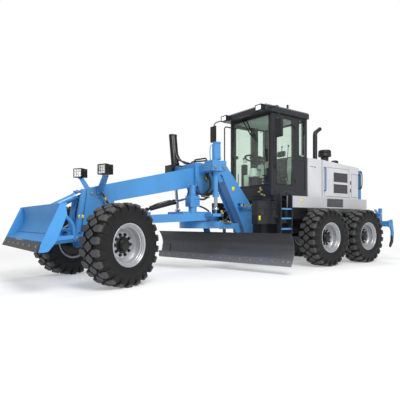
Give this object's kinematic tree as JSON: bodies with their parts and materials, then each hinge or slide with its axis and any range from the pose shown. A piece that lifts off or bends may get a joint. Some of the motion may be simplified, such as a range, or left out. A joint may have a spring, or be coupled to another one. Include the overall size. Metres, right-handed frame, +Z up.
{
  "type": "motor grader",
  "caption": "Articulated road grader with a front blade-bucket, a long curved moldboard under a gooseneck, a glazed cab, tandem rear wheels and a rear ripper.",
  "frame": {"origin": "on the ground, under the middle of the machine's overall length, width and wheels' lowest points", "axes": "+X forward along the machine, +Y to its left, +Z up"},
  "size_m": [10.1097, 3.645, 3.8303],
  "materials": {
    "blue_paint": "gloss enamel",
    "grey_paint": "gloss enamel",
    "dark_paint": "semi-gloss enamel",
    "black_paint": "gloss enamel",
    "tyre_rubber": "matt",
    "rim_paint": "satin",
    "blade_steel": "satin",
    "edge_steel": "oiled",
    "chrome_rod": "polished",
    "tinted_glass": "clear",
    "seat_fabric": "woven",
    "black_plastic": "moulded"
  },
  "bodies": {
    "rear_chassis": {"rear_frame": "dark_paint", "tandem_cases": "dark_paint", "engine": "dark_paint", "side_boxes": "dark_paint", "ladders": "dark_paint", "hood": "grey_paint", "grilles": "black_paint", "hood_rails": "blue_paint", "stacks": "black_paint", "cab_frame": "dark_paint", "cab_roof": "dark_paint", "cab_glass": "tinted_glass", "cab_seat": "seat_fabric", "cab_controls": "black_plastic", "cab_fittings": "black_plastic"},
    "door_left": {"door_left": "dark_paint", "door_glass_left": "tinted_glass"},
    "door_right": {"door_right": "dark_paint", "door_glass_right": "tinted_glass"},
    "front_chassis": {"front_frame": "blue_paint", "front_axle": "dark_paint", "work_lamps": "black_paint", "hoses": "black_plastic"},
    "knuckle_left": {"knuckle_left": "dark_paint"},
    "knuckle_right": {"knuckle_right": "dark_paint"},
    "drawbar": {"drawbar": "blue_paint"},
    "circle": {"circle": "blue_paint"},
    "blade_carrier": {"blade_carrier": "blue_paint"},
    "moldboard": {"moldboard": "blade_steel", "cutting_edge": "edge_steel"},
    "front_blade": {"bucket": "blue_paint", "bucket_edge": "edge_steel"},
    "ripper": {"ripper": "blue_paint"},
    "wheel_front_left": {"tyre_fl": "tyre_rubber", "rim_fl": "rim_paint"},
    "wheel_front_right": {"tyre_fr": "tyre_rubber", "rim_fr": "rim_paint"},
    "wheel_middle_left": {"tyre_ml": "tyre_rubber", "rim_ml": "rim_paint"},
    "wheel_middle_right": {"tyre_mr": "tyre_rubber", "rim_mr": "rim_paint"},
    "wheel_rear_left": {"tyre_rl": "tyre_rubber", "rim_rl": "rim_paint"},
    "wheel_rear_right": {"tyre_rr": "tyre_rubber", "rim_rr": "rim_paint"},
    "lift_left_barrel": {"lift_left_barrel": "blue_paint"},
    "lift_left_rod": {"lift_left_rod": "chrome_rod"},
    "lift_right_barrel": {"lift_right_barrel": "black_paint"},
    "lift_right_rod": {"lift_right_rod": "chrome_rod"},
    "shift_barrel": {"shift_barrel": "black_paint"},
    "shift_rod": {"shift_rod": "chrome_rod"},
    "steer_left_barrel": {"steer_left_barrel": "black_paint"},
    "steer_left_rod": {"steer_left_rod": "chrome_rod"},
    "steer_right_barrel": {"steer_right_barrel": "black_paint"},
    "steer_right_rod": {"steer_right_rod": "chrome_rod"},
    "bucket_lift_barrel": {"bucket_lift_barrel": "blue_paint"},
    "bucket_lift_rod": {"bucket_lift_rod": "chrome_rod"},
    "ripper_lift_barrel": {"ripper_lift_barrel": "black_paint"},
    "ripper_lift_rod": {"ripper_lift_rod": "chrome_rod"}
  },
  "joints": [
    {"name": "frame_articulation", "type": "hinge", "parent": "rear_chassis", "child": "front_chassis", "pos_m": [-0.315, 0, 0.81], "axis": [0, 0, 1], "range_deg": [-20, 20]},
    {"name": "door_left_swing", "type": "hinge", "parent": "rear_chassis", "child": "door_left", "pos_m": [-0.899, 0.714, 2.5], "axis": [0, 0, 1], "range_deg": [0, 85]},
    {"name": "door_right_swing", "type": "hinge", "parent": "rear_chassis", "child": "door_right", "pos_m": [-0.899, -0.714, 2.5], "axis": [0, 0, -1], "range_deg": [0, 85]},
    {"name": "steering_left", "type": "hinge", "parent": "front_chassis", "child": "knuckle_left", "pos_m": [3.785, 0.8, 0.675], "axis": [0, 0, 1], "range_deg": [-55, 20]},
    {"name": "steering_right", "type": "hinge", "parent": "front_chassis", "child": "knuckle_right", "pos_m": [3.785, -0.8, 0.675], "axis": [0, 0, 1], "range_deg": [-55, 20]},
    {"name": "wheel_front_left_spin", "type": "hinge", "parent": "knuckle_left", "child": "wheel_front_left", "pos_m": [3.70231, 1.06227, 0.675], "axis": [-0.3007, 0.9537, 0], "continuous": true},
    {"name": "wheel_front_right_spin", "type": "hinge", "parent": "knuckle_right", "child": "wheel_front_right", "pos_m": [3.86769, -1.06227, 0.675], "axis": [-0.3007, 0.9537, 0], "continuous": true},
    {"name": "wheel_middle_left_spin", "type": "hinge", "parent": "rear_chassis", "child": "wheel_middle_left", "pos_m": [-1.495, 1.075, 0.675], "axis": [0, 1, 0], "continuous": true},
    {"name": "wheel_middle_right_spin", "type": "hinge", "parent": "rear_chassis", "child": "wheel_middle_right", "pos_m": [-1.495, -1.075, 0.675], "axis": [0, 1, 0], "continuous": true},
    {"name": "wheel_rear_left_spin", "type": "hinge", "parent": "rear_chassis", "child": "wheel_rear_left", "pos_m": [-3.035, 1.075, 0.675], "axis": [0, 1, 0], "continuous": true},
    {"name": "wheel_rear_right_spin", "type": "hinge", "parent": "rear_chassis", "child": "wheel_rear_right", "pos_m": [-3.035, -1.075, 0.675], "axis": [0, 1, 0], "continuous": true},
    {"name": "drawbar_lift", "type": "hinge", "parent": "front_chassis", "child": "drawbar", "pos_m": [3.335, 0, 1.05], "axis": [0, 1, 0], "range_deg": [-8, 4]},
    {"name": "circle_turn", "type": "hinge", "parent": "drawbar", "child": "circle", "pos_m": [1.305, 0, 1], "axis": [0, 0, -1], "range_deg": [-32.5, 57.5]},
    {"name": "blade_tilt", "type": "hinge", "parent": "circle", "child": "blade_carrier", "pos_m": [0.62159, -0.15151, 0.43], "axis": [-0.2164, 0.9763, 0], "range_deg": [-5, 20]},
    {"name": "blade_side_shift", "type": "slide", "parent": "blade_carrier", "child": "moldboard", "axis": [-0.2164, 0.9763, 0], "range_m": [-0.5, 0.5]},
    {"name": "front_blade_lift", "type": "hinge", "parent": "front_chassis", "child": "front_blade", "pos_m": [4.185, 0, 0.77], "axis": [0, -1, 0], "range_deg": [-25, 10]},
    {"name": "ripper_lift", "type": "hinge", "parent": "rear_chassis", "child": "ripper", "pos_m": [-4.345, 0, 1], "axis": [0, 1, 0], "range_deg": [-15, 20]},
    {"name": "lift_left_swing", "type": "hinge", "parent": "front_chassis", "child": "lift_left_barrel", "pos_m": [1.475, 0.69, 2.16], "axis": [0.1119, -0.9937, -0.0114], "range_deg": [-1.28, 0.65]},
    {"name": "lift_left_stroke", "type": "slide", "parent": "lift_left_barrel", "child": "lift_left_rod", "axis": [0, 0.0114, -0.9999], "range_m": [-0.13085, 0.26121]},
    {"name": "lift_right_swing", "type": "hinge", "parent": "front_chassis", "child": "lift_right_barrel", "pos_m": [1.475, -0.84, 2.235], "axis": [0.8234, -0.5614, -0.0827], "range_deg": [-2.28, 1.15]},
    {"name": "lift_right_stroke", "type": "slide", "parent": "lift_right_barrel", "child": "lift_right_rod", "axis": [0, 0.1458, -0.9893], "range_m": [-0.12966, 0.25882]},
    {"name": "shift_swing", "type": "hinge", "parent": "front_chassis", "child": "shift_rod", "pos_m": [1.615, -0.05, 1.55], "axis": [0.1629, 0.9854, -0.0499], "range_deg": [-3.45, 6.88]},
    {"name": "shift_stroke", "type": "slide", "parent": "shift_rod", "child": "shift_barrel", "axis": [0.9496, -0.1703, -0.2632], "range_m": [-0.00369, 0.00687]},
    {"name": "steer_left_swing", "type": "hinge", "parent": "rear_chassis", "child": "steer_left_barrel", "pos_m": [-0.705, 0.43, 1.42], "axis": [0, 0, 1], "range_deg": [-11.96, 11.96]},
    {"name": "steer_left_stroke", "type": "slide", "parent": "steer_left_barrel", "child": "steer_left_rod", "axis": [0.9907, -0.1363, 0], "range_m": [-0.13018, 0.13018]},
    {"name": "steer_right_swing", "type": "hinge", "parent": "rear_chassis", "child": "steer_right_barrel", "pos_m": [-0.705, -0.43, 1.42], "axis": [0, 0, 1], "range_deg": [-11.96, 11.96]},
    {"name": "steer_right_stroke", "type": "slide", "parent": "steer_right_barrel", "child": "steer_right_rod", "axis": [0.9907, 0.1363, 0], "range_m": [-0.13018, 0.13018]},
    {"name": "bucket_lift_swing", "type": "hinge", "parent": "front_chassis", "child": "bucket_lift_rod", "pos_m": [3.895, 0, 1.59], "axis": [0, -1, 0], "range_deg": [-4.94, 1.99]},
    {"name": "bucket_lift_stroke", "type": "slide", "parent": "bucket_lift_rod", "child": "bucket_lift_barrel", "axis": [0.8944, 0, -0.4472], "range_m": [-0.10269, 0.25598]},
    {"name": "ripper_lift_swing", "type": "hinge", "parent": "rear_chassis", "child": "ripper_lift_barrel", "pos_m": [-4.325, 0, 1.24], "axis": [0, 1, 0], "range_deg": [-13.22, 17.62]},
    {"name": "ripper_lift_stroke", "type": "slide", "parent": "ripper_lift_barrel", "child": "ripper_lift_rod", "axis": [-0.9797, 0, -0.2004], "range_m": [-0.08184, 0.06151]}
  ],
  "couplings": [
    {"joint": "steering_right", "follows": "steering_left", "ratio": 1},
    {"joint": "lift_left_swing", "follows": "drawbar_lift", "ratio": 0.15709},
    {"joint": "lift_left_stroke", "follows": "drawbar_lift", "m_per_rad": -1.8672},
    {"joint": "lift_right_swing", "follows": "drawbar_lift", "ratio": 0.2829},
    {"joint": "lift_right_stroke", "follows": "drawbar_lift", "m_per_rad": -1.85},
    {"joint": "shift_swing", "follows": "drawbar_lift", "ratio": -0.85802},
    {"joint": "shift_stroke", "follows": "drawbar_lift", "m_per_rad": -0.045638},
    {"joint": "steer_left_swing", "follows": "frame_articulation", "ratio": 0.59703},
    {"joint": "steer_left_stroke", "follows": "frame_articulation", "m_per_rad": -0.37149},
    {"joint": "steer_right_swing", "follows": "frame_articulation", "ratio": 0.59703},
    {"joint": "steer_right_stroke", "follows": "frame_articulation", "m_per_rad": 0.37149},
    {"joint": "bucket_lift_swing", "follows": "front_blade_lift", "ratio": 0.19664},
    {"joint": "bucket_lift_stroke", "follows": "front_blade_lift", "m_per_rad": -0.58552},
    {"joint": "ripper_lift_swing", "follows": "ripper_lift", "ratio": 0.87995},
    {"joint": "ripper_lift_stroke", "follows": "ripper_lift", "m_per_rad": -0.23303}
  ]
}
